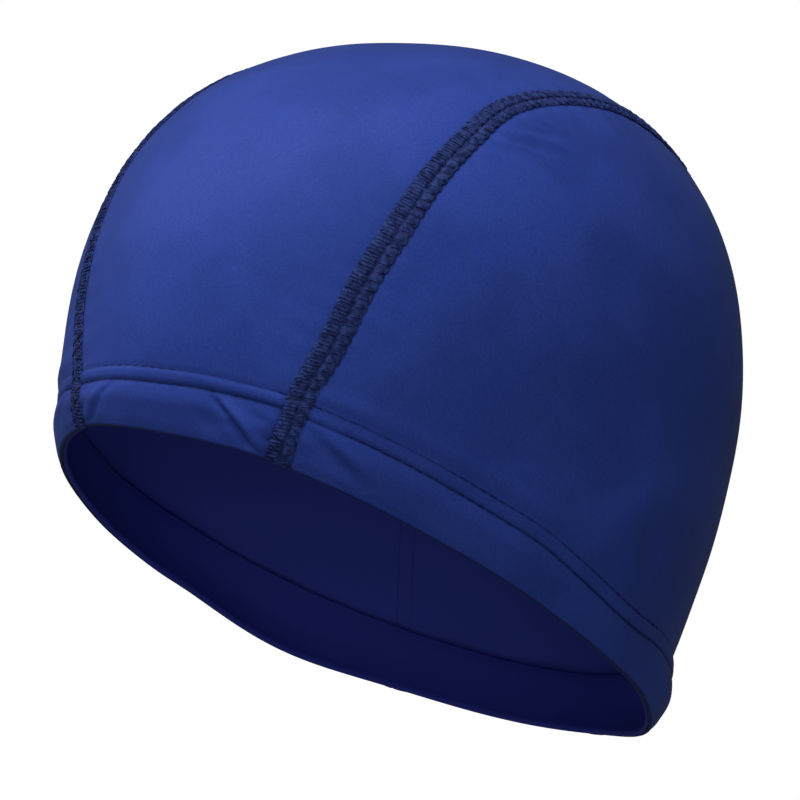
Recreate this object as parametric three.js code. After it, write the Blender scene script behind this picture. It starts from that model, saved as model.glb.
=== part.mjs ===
// A swim cap of stretch knit cloth, in the form that it takes on a head.
// Millimetres, +Z up on an upright head, the forehead towards -Y, the wearer's left towards +X.
// The origin is the middle of the head where its girth is greatest.
import * as THREE from 'three';

// Head form that stretches the cloth
const FRONT_REACH = 86;
const BACK_REACH = 101;
const HALF_WIDTH = 88;
const CROWN_HEIGHT = 90;
const CROWN_SETBACK = 6;
const RIM_FRONT_HEIGHT = 2;
const RIM_BACK_DROP = 107;

// Cloth, hem and seams
const WALL = 1;
const HEM_WIDTH = 17;
const HEM_SWELL = 1.3;
const BAND_WALL = 1;
const SEAM_WIDTH = 6.4;
const SEAM_RISE = 0.6;
const SEAM_BACK = 0.4;
const PANEL_HALF_WIDTH = 44;
const CLEARANCE = 0.3;

// Cloth lifted by each ear
const EAR_RISE = 2.6;
const EAR_LENGTH = 21;
const EAR_HEIGHT = 17;
const EAR_BACK = 2;
const EAR_DROP = 27;

// Hem that stands off and hangs lower behind each ear. The turn and its spread are in degrees.
const NAPE_FLARE = 2.8;
const NAPE_DROP = 3;
const NAPE_TURN = 128;
const NAPE_SPREAD = 20;

// Shape of the head form, as shares and powers without a unit
const DOME_RISE_POWER = 2.1;
const DOME_TURN_POWER = 2.3;
const TAPER = { front: 0.05, back: 0.35, side: 0.28 };
const TAPER_DEPTH = 100;
const WIDEST_SHARE = 0.56;
const SEAM_LEAN = 0.88;
const BACKING_FADE = 0.1;

// How the hem stands off the head. A level is -1 at the rim, 0 at the top of the hem and 1 at the crown.
// swell is a share of HEM_SWELL, flare of NAPE_FLARE and drop of NAPE_DROP.
const HEM_SECTIONS = [
  { level: -1.0, swell: 0.35, flare: 0.55, drop: 1.0 },
  { level: -0.8, swell: 0.9, flare: 0.8, drop: 0.85 },
  { level: -0.5, swell: 1.0, flare: 0.9, drop: 0.5 },
  { level: -0.15, swell: 0.4, flare: 0.3, drop: 0.2 },
  { level: 0.0, swell: 0.3, flare: 0.0, drop: 0.1 },
  { level: 0.1, swell: 0.0, flare: 0.0, drop: 0.0 },
  { level: 1.0, swell: 0.0, flare: 0.0, drop: 0.0 },
];

// How far each seam lies from the middle line. fan is a share of the half turn from the front rim
// over the crown to the back rim, and reach is a share of PANEL_HALF_WIDTH.
const SEAM_SECTIONS = [
  { fan: 0.0, reach: 0.73 },
  { fan: 0.05, reach: 0.835 },
  { fan: 0.09, reach: 0.945 },
  { fan: 0.13, reach: 1.015 },
  { fan: 0.18, reach: 1.08 },
  { fan: 0.25, reach: 1.085 },
  { fan: 0.3, reach: 1.05 },
  { fan: 0.38, reach: 1.12 },
  { fan: 0.46, reach: 1.2 },
  { fan: 0.6, reach: 1.2 },
  { fan: 0.8, reach: 1.05 },
  { fan: 0.93, reach: 0.88 },
  { fan: 1.0, reach: 0.8 },
];

// Steps of the faceted surface
const HEM_ROWS = 4;
const ARCH_ROWS = 34;
const PANEL_COLUMNS = 16;
const SIDE_ROWS = 18;
const SIDE_COLUMNS = 26;
const BAND_COLUMNS = 72;
const SEAM_COLUMNS = 2;
const ARC_DIVISIONS = 400;
const HALVINGS = 40;
const SMALL_STEP = 1e-4;

const DEEP_BLUE = new THREE.MeshStandardMaterial({ color: 0x27397f, roughness: 0.55, metalness: 0 });
const SEAM_NAVY = new THREE.MeshStandardMaterial({ color: 0x18234f, roughness: 0.8, metalness: 0 });
const BAND_NAVY = new THREE.MeshStandardMaterial({ color: 0x131b48, roughness: 0.6, metalness: 0 });

/** How far the head form stands out at a height: a dome above its widest level, a taper below it. */
function reachAt(height, widest, taper) {
  if (height < 0) {
    return widest * (1 - taper * (height / TAPER_DEPTH) ** 2);
  }
  const climb = Math.min(height / CROWN_HEIGHT, 1);
  return widest * (1 - climb ** DOME_RISE_POWER) ** (1 / DOME_TURN_POWER);
}

/** The middle line of the cloth from the rim to the crown, in the plane of Y and Z. */
class Arch extends THREE.Curve {
  constructor(rimHeight, widest, taper, side) {
    super();
    this.rimHeight = rimHeight;
    this.widest = widest;
    this.taper = taper;
    this.side = side;
    this.arcLengthDivisions = ARC_DIVISIONS;
  }

  getPoint(share, target = new THREE.Vector2()) {
    const climb = Math.sin((share * Math.PI) / 2);
    const height = this.rimHeight + (CROWN_HEIGHT - this.rimHeight) * climb;
    const out = this.side * reachAt(height, this.widest, this.taper);
    return target.set(out + CROWN_SETBACK * climb ** 4, height);
  }

  /** The point at a level: the hem keeps its width, and the rest is shared out to the crown. */
  atLevel(level) {
    const length = this.getLength();
    const walked = level < 0 ? (1 + level) * HEM_WIDTH : HEM_WIDTH + level * (length - HEM_WIDTH);
    return this.getPointAt(Math.min(walked / length, 1));
  }
}

const FRONT_ARCH = new Arch(RIM_FRONT_HEIGHT, FRONT_REACH, TAPER.front, -1);
const BACK_ARCH = new Arch(-RIM_BACK_DROP, BACK_REACH, TAPER.back, 1);

/** Reads one column of a table at a place, on a smooth line through its rows. */
function readTable(table, key, column, at) {
  const last = table.length - 1;
  let i = 0;
  while (i < last - 1 && at > table[i + 1][key]) {
    i += 1;
  }
  const slopeAt = (k) => {
    const before = table[Math.max(k - 1, 0)];
    const after = table[Math.min(k + 1, last)];
    return (after[column] - before[column]) / (after[key] - before[key]);
  };
  const span = table[i + 1][key] - table[i][key];
  const s = (at - table[i][key]) / span;
  const ease = s * s * (3 - 2 * s);
  const level = table[i][column] * (1 - ease) + table[i + 1][column] * ease;
  return level + span * (slopeAt(i) * s * (1 - s) ** 2 - slopeAt(i + 1) * s * s * (1 - s));
}

/** One flat oval of the form: its front, back and middle in the plane of Y and Z, and half its width. */
function sectionAt(level) {
  const front = FRONT_ARCH.atLevel(level);
  const back = BACK_ARCH.atLevel(level);
  const middle = front.clone().lerp(back, WIDEST_SHARE);
  return { front, back, middle, half: reachAt(middle.y, HALF_WIDTH, TAPER.side) };
}

/** A point of the head form. The turn goes round from the front, past the wearer's left, to the back. */
function headPoint(level, turn) {
  const { front, back, middle, half } = sectionAt(level);
  const towards = Math.cos(turn) > 0 ? front : back;
  const place = middle.clone().lerp(towards, Math.abs(Math.cos(turn)));
  return new THREE.Vector3(half * Math.sin(turn), place.x, place.y);
}

/** The direction out of the head form. */
function headNormal(level, turn) {
  const upper = Math.min(level + SMALL_STEP, 1);
  const lower = Math.max(level - SMALL_STEP, -1);
  const around = headPoint(level, turn + SMALL_STEP).sub(headPoint(level, turn - SMALL_STEP));
  const upwards = headPoint(upper, turn).sub(headPoint(lower, turn));
  const normal = around.cross(upwards);
  return normal.lengthSq() > 0 ? normal.normalize() : new THREE.Vector3(0, 0, 1);
}

/** How far the cloth is lifted off the head form by the rolled hem and by the ears. */
function liftAt(level, point) {
  const along = (point.y - EAR_BACK) / EAR_LENGTH;
  const up = (point.z + EAR_DROP) / EAR_HEIGHT;
  const ear = EAR_RISE * Math.exp(-(along ** 2 + up ** 2)) * Math.min(Math.abs(point.x) / HALF_WIDTH, 1);
  return HEM_SWELL * readTable(HEM_SECTIONS, 'level', 'swell', level) + ear;
}

/** How near a turn is to the place behind either ear where the hem flares: 1 there, 0 far away. */
function napeShare(turn) {
  const around = THREE.MathUtils.radToDeg(Math.acos(THREE.MathUtils.clamp(Math.cos(turn), -1, 1)));
  return Math.exp(-(((around - NAPE_TURN) / NAPE_SPREAD) ** 2));
}

/** A point at a depth into the cloth from its outer face. */
function clothPoint(level, turn, depth) {
  const point = headPoint(level, turn);
  const share = napeShare(turn);
  const flare = NAPE_FLARE * share * readTable(HEM_SECTIONS, 'level', 'flare', level);
  const drop = NAPE_DROP * share * readTable(HEM_SECTIONS, 'level', 'drop', level);
  point.addScaledVector(headNormal(level, turn), liftAt(level, point) + flare - depth);
  point.z -= drop;
  return point;
}

const SEAM_HALF = (SEAM_WIDTH / 2) * SEAM_LEAN;
const PIVOT = sectionAt(-1).middle;
const RIM_FORWARD = FRONT_ARCH.atLevel(-1).sub(PIVOT).normalize();

/** The angle of a point about the middle of the rim: 0 at the front of the rim, half a turn at its back. */
function fanAngle(y, z) {
  const away = new THREE.Vector2(y - PIVOT.x, z - PIVOT.y);
  const angle = Math.atan2(-RIM_FORWARD.cross(away), RIM_FORWARD.dot(away));
  return angle < -Math.PI / 2 ? angle + 2 * Math.PI : angle;
}

/** Halves an interval until the test, true at its low end, changes from true to false. */
function halve(low, high, isBelow) {
  for (let i = 0; i < HALVINGS; i += 1) {
    const middle = (low + high) / 2;
    if (isBelow(middle)) {
      low = middle;
    } else {
      high = middle;
    }
  }
  return (low + high) / 2;
}

/** Half the width of the centre panel at a fan angle, out to the middle of the seam. */
function seamAt(fan) {
  return PANEL_HALF_WIDTH * readTable(SEAM_SECTIONS, 'fan', 'reach', fan / Math.PI);
}

/** The level and turn of the place on the form at a fan angle and a distance to the left of the middle. */
function placeAt(fan, left) {
  const top = halve(-1, 1, (level) => sectionAt(level).half > Math.abs(left));
  const walkTo = (way) => {
    const level = -1 + (top + 1) * (way < 1 ? way : 2 - way);
    const lean = Math.asin(THREE.MathUtils.clamp(left / sectionAt(level).half, -1, 1));
    return { level, turn: way < 1 ? lean : Math.PI - lean };
  };
  const way = halve(0, 2, (w) => {
    const { level, turn } = walkTo(w);
    const point = headPoint(level, turn);
    return fanAngle(point.y, point.z) < fan;
  });
  return walkTo(way);
}

/** The fan angles of the rows across an arch: close rows in the hems and even ones between them. */
function fanRows() {
  const levels = [];
  for (let i = 0; i < HEM_ROWS; i += 1) {
    levels.push([-1 + i / HEM_ROWS, 0]);
  }
  const angles = levels.map(([level]) => {
    const point = FRONT_ARCH.atLevel(level);
    return fanAngle(point.x, point.y);
  });
  const ends = levels.map(([level]) => {
    const point = BACK_ARCH.atLevel(level);
    return fanAngle(point.x, point.y);
  });
  const frontLength = FRONT_ARCH.getLength() - HEM_WIDTH;
  const backLength = BACK_ARCH.getLength() - HEM_WIDTH;
  for (let i = 0; i <= ARCH_ROWS; i += 1) {
    const walked = ((frontLength + backLength) * i) / ARCH_ROWS;
    const onFront = walked < frontLength;
    const level = onFront ? walked / frontLength : (frontLength + backLength - walked) / backLength;
    const point = (onFront ? FRONT_ARCH : BACK_ARCH).atLevel(level);
    angles.push(fanAngle(point.x, point.y));
  }
  return angles.concat(ends.reverse());
}

/** A closed wall between an outer and an inner face that share a grid of rows and columns. */
function wallMesh(name, material, rows, columns, place, isRing = false) {
  const across = isRing ? columns : columns + 1;
  const positions = [];
  const indexOf = new Map();
  const vertex = (row, column, layer) => {
    const point = place(row, column % across, layer);
    const key = point.toArray().map((value) => value.toFixed(4)).join();
    if (!indexOf.has(key)) {
      indexOf.set(key, positions.length / 3);
      positions.push(...point.toArray());
    }
    return indexOf.get(key);
  };
  const grid = [0, 1].map((layer) =>
    Array.from({ length: rows + 1 }, (_, row) =>
      Array.from({ length: columns + 1 }, (__, column) => vertex(row, column, layer)),
    ),
  );
  const [outer, inner] = grid;
  const triangles = [];
  const addTriangle = (a, b, c) => {
    if (a !== b && b !== c && c !== a) {
      triangles.push(a, b, c);
    }
  };
  const addQuad = (a, b, c, d) => {
    addTriangle(a, b, c);
    addTriangle(a, c, d);
  };
  for (let row = 0; row < rows; row += 1) {
    for (let column = 0; column < columns; column += 1) {
      const [below, above, right] = [row, row + 1, column + 1];
      addQuad(outer[below][column], outer[below][right], outer[above][right], outer[above][column]);
      addQuad(inner[below][column], inner[above][column], inner[above][right], inner[below][right]);
    }
    if (!isRing) {
      addQuad(inner[row][0], outer[row][0], outer[row + 1][0], inner[row + 1][0]);
      addQuad(outer[row][columns], inner[row][columns], inner[row + 1][columns], outer[row + 1][columns]);
    }
  }
  for (let column = 0; column < columns; column += 1) {
    const right = column + 1;
    addQuad(inner[0][column], inner[0][right], outer[0][right], outer[0][column]);
    addQuad(outer[rows][column], outer[rows][right], inner[rows][right], inner[rows][column]);
  }
  const geometry = new THREE.BufferGeometry();
  geometry.setAttribute('position', new THREE.Float32BufferAttribute(positions, 3));
  geometry.setIndex(triangles);
  geometry.computeVertexNormals();
  const mesh = new THREE.Mesh(geometry, material);
  mesh.name = name;
  return mesh;
}

const FANS = fanRows();

/** The panel that runs from the forehead over the crown to the nape, between the two seams. */
function centrePanel() {
  return wallMesh('center_panel', DEEP_BLUE, FANS.length - 1, PANEL_COLUMNS, (row, column, layer) => {
    const share = (2 * column) / PANEL_COLUMNS - 1;
    const { level, turn } = placeAt(FANS[row], share * (seamAt(FANS[row]) - SEAM_HALF - CLEARANCE));
    return clothPoint(level, turn, layer * WALL);
  });
}

/** A strip of flat sewing between the centre panel and one side panel, proud of the cloth and narrower inside. */
function seamStrip(name, side) {
  return wallMesh(name, SEAM_NAVY, FANS.length - 1, SEAM_COLUMNS, (row, column, layer) => {
    const share = (2 * column) / SEAM_COLUMNS - 1;
    const reach = SEAM_HALF - layer * SEAM_BACK;
    const { level, turn } = placeAt(FANS[row], side * seamAt(FANS[row]) + share * reach);
    const backing = SEAM_BACK * THREE.MathUtils.clamp(level / BACKING_FADE, 0, 1);
    return clothPoint(level, turn, layer ? WALL + backing : -SEAM_RISE);
  });
}

/** The panel over one ear, from the front end of its seam to the back end and up to the seam's top. */
function sidePanel(name, side) {
  const edgeAt = (fan) => placeAt(fan, seamAt(fan) + SEAM_HALF + CLEARANCE);
  const climbs = (fan) => edgeAt(fan + SMALL_STEP).level > edgeAt(fan).level;
  const topFan = halve(0, Math.PI, climbs);
  const top = edgeAt(topFan).level;
  const levels = [];
  for (let i = 0; i < HEM_ROWS; i += 1) {
    levels.push(-1 + i / HEM_ROWS);
  }
  for (let i = 0; i <= SIDE_ROWS; i += 1) {
    levels.push(top * Math.sin(((i / SIDE_ROWS) * Math.PI) / 2));
  }
  const rows = levels.length - 1;
  const ends = levels.map((level, row) => {
    const isTop = row === rows;
    const front = isTop ? topFan : halve(0, topFan, (fan) => edgeAt(fan).level < level);
    const back = isTop ? topFan : halve(topFan, Math.PI, (fan) => edgeAt(fan).level > level);
    return [edgeAt(front).turn, edgeAt(back).turn];
  });
  return wallMesh(name, DEEP_BLUE, rows, SIDE_COLUMNS, (row, column, layer) => {
    const [front, back] = ends[row];
    const share = side > 0 ? column / SIDE_COLUMNS : 1 - column / SIDE_COLUMNS;
    return clothPoint(levels[row], side * (front + (back - front) * share), layer * WALL);
  });
}

/** The hem's inner layer: cloth and elastic turned in at the rim, a ring inside the three panels. */
function hemBand() {
  return wallMesh(
    'hem_band',
    BAND_NAVY,
    HEM_ROWS,
    BAND_COLUMNS,
    (row, column, layer) => {
      const turn = (2 * Math.PI * column) / BAND_COLUMNS;
      return clothPoint(-1 + row / HEM_ROWS, turn, WALL + CLEARANCE + layer * BAND_WALL);
    },
    true,
  );
}

const swimCap = new THREE.Group();
swimCap.add(
  centrePanel(),
  sidePanel('side_panel_left', 1),
  sidePanel('side_panel_right', -1),
  seamStrip('seam_left', 1),
  seamStrip('seam_right', -1),
  hemBand(),
);

export default swimCap;
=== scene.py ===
"""A swim cap of stretch knit cloth in its worn form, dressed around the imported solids.

The cap stands in the row's frame: Z up, the forehead towards -Y, the wearer's left towards +X.
Sizes in the classes are millimetres and become metres when a mesh is made.
A level is -1 at the rim, 0 at the top of the hem and 1 at the crown. A turn goes round from the
front past the wearer's left. A fan angle goes over the crown from the front rim to the back rim.
"""
from __future__ import annotations

import logging
from collections.abc import Callable
from dataclasses import dataclass, field
from enum import Enum

import bpy
import numpy as np
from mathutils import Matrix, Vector, kdtree


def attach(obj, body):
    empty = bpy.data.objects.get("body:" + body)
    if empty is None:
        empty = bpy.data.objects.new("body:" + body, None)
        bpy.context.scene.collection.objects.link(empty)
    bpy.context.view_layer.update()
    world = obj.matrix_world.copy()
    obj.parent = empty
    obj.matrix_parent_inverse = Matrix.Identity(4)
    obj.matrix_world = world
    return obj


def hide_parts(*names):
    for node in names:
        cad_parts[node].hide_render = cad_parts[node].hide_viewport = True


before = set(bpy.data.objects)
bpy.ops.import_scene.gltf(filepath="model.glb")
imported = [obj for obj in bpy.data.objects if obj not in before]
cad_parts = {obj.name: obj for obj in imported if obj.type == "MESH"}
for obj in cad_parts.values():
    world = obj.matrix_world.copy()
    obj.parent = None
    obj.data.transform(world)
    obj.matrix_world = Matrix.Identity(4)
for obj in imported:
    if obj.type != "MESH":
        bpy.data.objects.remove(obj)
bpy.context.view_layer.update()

MM = 0.001
SMALL_STEP = 1e-4
NEARLY_NONE = 1e-6
HALVINGS = 40
HALF_TURN = np.pi
Array = np.ndarray
Colour = tuple[float, float, float]
Tree = bpy.types.NodeTree
Socket = bpy.types.NodeSocket
Material = bpy.types.Material
Piece = bpy.types.Object

logging.basicConfig(level=logging.INFO, format="%(message)s")
LOG = logging.getLogger("swim_cap")


class Side(Enum):
    """The wearer's left or right half of the cap."""

    LEFT = 1
    RIGHT = -1

    @property
    def word(self) -> str:
        """The side's name as the nodes spell it."""
        return self.name.lower()


def read_table(keys: tuple[float, ...], values: tuple[float, ...], at: Array) -> Array:
    """Reads a column of a table on a smooth line through its rows.

    Args:
        keys: the places of the rows, rising.
        values: the column's value in each row.
        at: the places to read.

    Returns:
        The column's value at each place.
    """
    keys, values = np.array(keys, float), np.array(values, float)
    before = np.r_[0, np.arange(len(keys) - 1)]
    after = np.r_[np.arange(1, len(keys)), len(keys) - 1]
    slopes = (values[after] - values[before]) / (keys[after] - keys[before])
    row = np.searchsorted(keys[1:-1], at, side="left")
    span = keys[row + 1] - keys[row]
    share = (at - keys[row]) / span
    ease = share * share * (3 - 2 * share)
    level = values[row] * (1 - ease) + values[row + 1] * ease
    rising = slopes[row] * share * (1 - share) ** 2
    falling = slopes[row + 1] * share * share * (1 - share)
    return level + span * (rising - falling)


def halve(low: Array, high: Array, is_below: Callable[[Array], Array]) -> Array:
    """Halves each interval until the test, true at its low end, changes from true to false.

    Args:
        low: the low ends.
        high: the high ends.
        is_below: the test, given an array of places.

    Returns:
        The places where the test changes.
    """
    low, high = np.array(low, float), np.array(high, float)
    for _ in range(HALVINGS):
        middle = (low + high) / 2
        below = is_below(middle)
        low, high = np.where(below, middle, low), np.where(below, high, middle)
    return (low + high) / 2


def unit(vectors: Array) -> Array:
    """Vectors of length one, or straight up where there is no direction."""
    size = np.linalg.norm(vectors, axis=-1, keepdims=True)
    return np.where(size > 1e-12, vectors / np.maximum(size, 1e-12), np.array([0.0, 0.0, 1.0]))


def smooth_step(at: Array, low: float, high: float) -> Array:
    """Rises smoothly from 0 at low to 1 at high."""
    share = np.clip((at - low) / (high - low), 0, 1)
    return share * share * (3 - 2 * share)


def bell(away: Array, width: float) -> Array:
    """1 in the middle of a soft bump and near 0 past its width."""
    return np.exp(-((away / width) ** 2))


def place_object(name: str, data: bpy.types.ID) -> Piece:
    """A new object at the origin that holds the data."""
    made = bpy.data.objects.new(name, data)
    bpy.context.scene.collection.objects.link(made)
    return made


def place_cloth(name: str, mesh: bpy.types.Mesh, material: Material) -> Piece:
    """Smooths a mesh, gives it its material and makes it an object at the origin."""
    mesh.polygons.foreach_set("use_smooth", np.ones(len(mesh.polygons), bool))
    mesh.materials.append(material)
    mesh.update()
    LOG.info("%s: %d faces", name, len(mesh.polygons))
    return place_object(name, mesh)


def add_node(tree: Tree, kind: str, inputs: dict | None = None, **options) -> bpy.types.Node:
    """Adds a node to a tree.

    Args:
        tree: the tree.
        kind: the type of the node.
        inputs: the value of each input, or the socket that feeds it, by the input's name or number.
        options: the node's own options.

    Returns:
        The new node.
    """
    made = tree.nodes.new(kind)
    for name, value in options.items():
        setattr(made, name, value)
    for place, value in (inputs or {}).items():
        if isinstance(value, Socket):
            tree.links.new(value, made.inputs[place])
        else:
            made.inputs[place].default_value = value
    return made


def calculate(tree: Tree, operation: str, *values) -> Socket:
    """One step of arithmetic on sockets or numbers."""
    return add_node(tree, "ShaderNodeMath", dict(enumerate(values)), operation=operation).outputs[0]


@dataclass
class CapForm:
    """The stretched form of the cap, as the part's source builds it."""

    front_reach: float = 86.0
    back_reach: float = 101.0
    half_width: float = 88.0
    crown_height: float = 90.0
    crown_setback: float = 6.0
    rim_front_height: float = 2.0
    rim_back_drop: float = 107.0
    wall: float = 1.0
    band_wall: float = 1.0
    clearance: float = 0.3
    hem_width: float = 17.0
    hem_swell: float = 1.3
    seam_width: float = 6.4
    panel_half_width: float = 44.0
    ear_rise: float = 2.6
    ear_length: float = 21.0
    ear_height: float = 17.0
    ear_back: float = 2.0
    ear_drop: float = 27.0
    nape_flare: float = 2.8
    nape_drop: float = 3.0
    nape_turn: float = 128.0
    nape_spread: float = 20.0
    dome_rise_power: float = 2.1
    dome_turn_power: float = 2.3
    taper_front: float = 0.05
    taper_back: float = 0.35
    taper_side: float = 0.28
    taper_depth: float = 100.0
    widest_share: float = 0.56
    seam_lean: float = 0.88
    arc_divisions: int = 400
    hem_levels: tuple[float, ...] = (-1.0, -0.8, -0.5, -0.15, 0.0, 0.1, 1.0)
    hem_swells: tuple[float, ...] = (0.35, 0.9, 1.0, 0.4, 0.3, 0.0, 0.0)
    hem_flares: tuple[float, ...] = (0.55, 0.8, 0.9, 0.3, 0.0, 0.0, 0.0)
    hem_drops: tuple[float, ...] = (1.0, 0.85, 0.5, 0.2, 0.1, 0.0, 0.0)
    # The front of the seam's line was fitted to the photograph's near seam.
    seam_fans: tuple[float, ...] = (
        0.0, 0.05, 0.09, 0.13, 0.18, 0.25, 0.3, 0.38, 0.46, 0.6, 0.8, 0.93, 1.0,
    )
    seam_reaches: tuple[float, ...] = (
        0.73, 0.835, 0.945, 1.015, 1.08, 1.085, 1.05, 1.12, 1.2, 1.2, 1.05, 0.88, 0.8,
    )
    rim_turns: tuple[float, ...] = (0, 10, 20, 28, 40, 52, 66, 80, 94, 106, 130, 180)
    rim_lowers: tuple[float, ...] = (-0.5, -0.9, -1.4, -0.9, -0.4, 0.1, 0.4, 1.0, 1.0, 0.1, 0.0, 0.0)
    arches: dict[int, tuple[Array, Array]] = field(default_factory=dict)

    def __post_init__(self) -> None:
        """Measures both arches of the middle line and the rim's direction."""
        shares = np.linspace(0, 1, self.arc_divisions + 1)
        for side in (-1, 1):
            y, z = self.arch_point(side, shares)
            steps = np.hypot(np.diff(y), np.diff(z))
            self.arches[side] = (shares, np.r_[0, np.cumsum(steps)])
        front, _, middle, _ = self.section(np.array(-1.0))
        self.pivot = middle
        self.rim_forward = (front - middle) / np.linalg.norm(front - middle)

    @property
    def rim_radius(self) -> float:
        """The radius of the fold at the rim, to the cloth's outer face."""
        return (self.wall + self.clearance + self.band_wall) / 2

    @property
    def rim_level(self) -> float:
        """The level where the cloth starts to fold under."""
        return self.rim_radius / self.hem_width - 1

    @property
    def seam_half(self) -> float:
        """Half of a seam's width, as it is measured across the cap."""
        return self.seam_width / 2 * self.seam_lean

    @property
    def front_length(self) -> float:
        """The cloth's length from the front rim to the crown."""
        return float(self.arches[-1][1][-1])

    @property
    def back_length(self) -> float:
        """The cloth's length from the back rim to the crown."""
        return float(self.arches[1][1][-1])

    def reach_at(self, height: Array, widest: float, taper: float) -> Array:
        """How far the form stands out at a height: a dome above, a taper below."""
        climb = np.clip(height / self.crown_height, 0, 1)
        dome = (1 - climb**self.dome_rise_power) ** (1 / self.dome_turn_power)
        return widest * np.where(height < 0, 1 - taper * (height / self.taper_depth) ** 2, dome)

    def arch_point(self, side: int, share: Array) -> tuple[Array, Array]:
        """A point of the middle line.

        Args:
            side: -1 for the front arch and 1 for the back arch.
            share: 0 at the rim and 1 at the crown.

        Returns:
            The point's y and z.
        """
        rim = self.rim_front_height if side < 0 else -self.rim_back_drop
        widest = self.front_reach if side < 0 else self.back_reach
        taper = self.taper_front if side < 0 else self.taper_back
        climb = np.sin(share * np.pi / 2)
        height = rim + (self.crown_height - rim) * climb
        out = side * self.reach_at(height, widest, taper)
        return out + self.crown_setback * climb**4, height

    def arch_at(self, side: int, level: Array) -> Array:
        """The point of an arch at a level, as y and z in the last axis."""
        shares, lengths = self.arches[side]
        total = lengths[-1]
        above = self.hem_width + level * (total - self.hem_width)
        walked = np.where(level < 0, (1 + level) * self.hem_width, above)
        return np.stack(self.arch_point(side, np.interp(walked, lengths, shares)), -1)

    def section(self, level: Array) -> tuple[Array, Array, Array, Array]:
        """One flat oval of the form.

        Args:
            level: the oval's level.

        Returns:
            Its front, back and middle as y and z, and half of its width.
        """
        front, back = self.arch_at(-1, level), self.arch_at(1, level)
        middle = front + (back - front) * self.widest_share
        return front, back, middle, self.reach_at(middle[..., 1], self.half_width, self.taper_side)

    def head_point(self, level: Array, turn: Array) -> Array:
        """A point of the head form."""
        front, back, middle, half = self.section(level)
        ahead = np.cos(turn)[..., None]
        place = middle + (np.where(ahead > 0, front, back) - middle) * np.abs(ahead)
        return np.stack([half * np.sin(turn), place[..., 0], place[..., 1]], -1)

    def upwards(self, level: Array, turn: Array) -> Array:
        """The direction along the cloth from the rim towards the crown, not of length one."""
        upper = np.minimum(level + SMALL_STEP, 1)
        lower = np.maximum(level - SMALL_STEP, -1)
        return self.head_point(upper, turn) - self.head_point(lower, turn)

    def head_normal(self, level: Array, turn: Array) -> Array:
        """The direction out of the head form."""
        around = self.head_point(level, turn + SMALL_STEP) - self.head_point(level, turn - SMALL_STEP)
        return unit(np.cross(around, self.upwards(level, turn)))

    def hem_column(self, column: tuple[float, ...], level: Array) -> Array:
        """A column of the hem's table at a level."""
        return read_table(self.hem_levels, column, level)

    def cloth_point(self, level: Array, turn: Array, depth: Array, curl: Array | float = 0.0) -> Array:
        """A point of the cloth.

        Args:
            level: the level of the point.
            turn: the turn of the point.
            depth: how deep it lies under the outer face.
            curl: how far round the fold at the rim it lies, as an angle.

        Returns:
            The points, with x, y and z in the last axis.
        """
        level, turn, depth = np.broadcast_arrays(level, turn, depth)
        point, normal = self.head_point(level, turn), self.head_normal(level, turn)
        along = (point[..., 1] - self.ear_back) / self.ear_length
        up = (point[..., 2] + self.ear_drop) / self.ear_height
        ear = self.ear_rise * np.exp(-(along**2 + up**2))
        ear = ear * np.minimum(np.abs(point[..., 0]) / self.half_width, 1)
        around = np.degrees(np.arccos(np.clip(np.cos(turn), -1, 1)))
        nape = bell(around - self.nape_turn, self.nape_spread)
        lift = self.hem_swell * self.hem_column(self.hem_swells, level) + ear
        lift = lift + self.nape_flare * nape * self.hem_column(self.hem_flares, level)
        point = point + normal * lift[..., None]
        point[..., 2] -= self.nape_drop * nape * self.hem_column(self.hem_drops, level)
        down = -unit(self.upwards(level, turn))
        lower = read_table(self.rim_turns, self.rim_lowers, around)
        point = point + down * (lower * np.clip(-level, 0, 1))[..., None]
        curl = np.broadcast_to(np.asarray(curl, float), level.shape)
        outwards = (self.rim_radius - depth) * np.cos(curl) - self.rim_radius
        downwards = (self.rim_radius - depth) * np.sin(curl)
        return point + normal * outwards[..., None] + down * downwards[..., None]

    def fan_angle(self, y: Array, z: Array) -> Array:
        """The angle of a point about the middle of the rim, 0 at the front and half a turn behind."""
        ahead, up = self.rim_forward
        away_y, away_z = y - self.pivot[0], z - self.pivot[1]
        angle = np.arctan2(-(ahead * away_z - up * away_y), ahead * away_y + up * away_z)
        return np.where(angle < -np.pi / 2, angle + 2 * np.pi, angle)

    def seam_at(self, fan: Array) -> Array:
        """Half of the centre panel's width at a fan angle, out to the middle of the seam."""
        reaches = read_table(self.seam_fans, self.seam_reaches, fan / HALF_TURN)
        return self.panel_half_width * reaches

    def place_at(self, fan: Array, left: Array) -> tuple[Array, Array]:
        """The level and turn at a fan angle and a distance to the left of the middle."""
        fan, left = np.broadcast_arrays(np.asarray(fan, float), np.asarray(left, float))
        top = halve(
            np.full(fan.shape, -1.0), np.ones(fan.shape), lambda at: self.section(at)[3] > np.abs(left)
        )

        def walk_to(way: Array) -> tuple[Array, Array]:
            """Climbs the front for a way up to 1 and comes down the back after it."""
            level = -1 + (top + 1) * np.where(way < 1, way, 2 - way)
            lean = np.arcsin(np.clip(left / self.section(level)[3], -1, 1))
            return level, np.where(way < 1, lean, np.pi - lean)

        def is_before(way: Array) -> Array:
            """Whether a way falls short of the fan angle."""
            point = self.head_point(*walk_to(way))
            return self.fan_angle(point[..., 1], point[..., 2]) < fan

        return walk_to(halve(np.zeros(fan.shape), np.full(fan.shape, 2.0), is_before))

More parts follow.
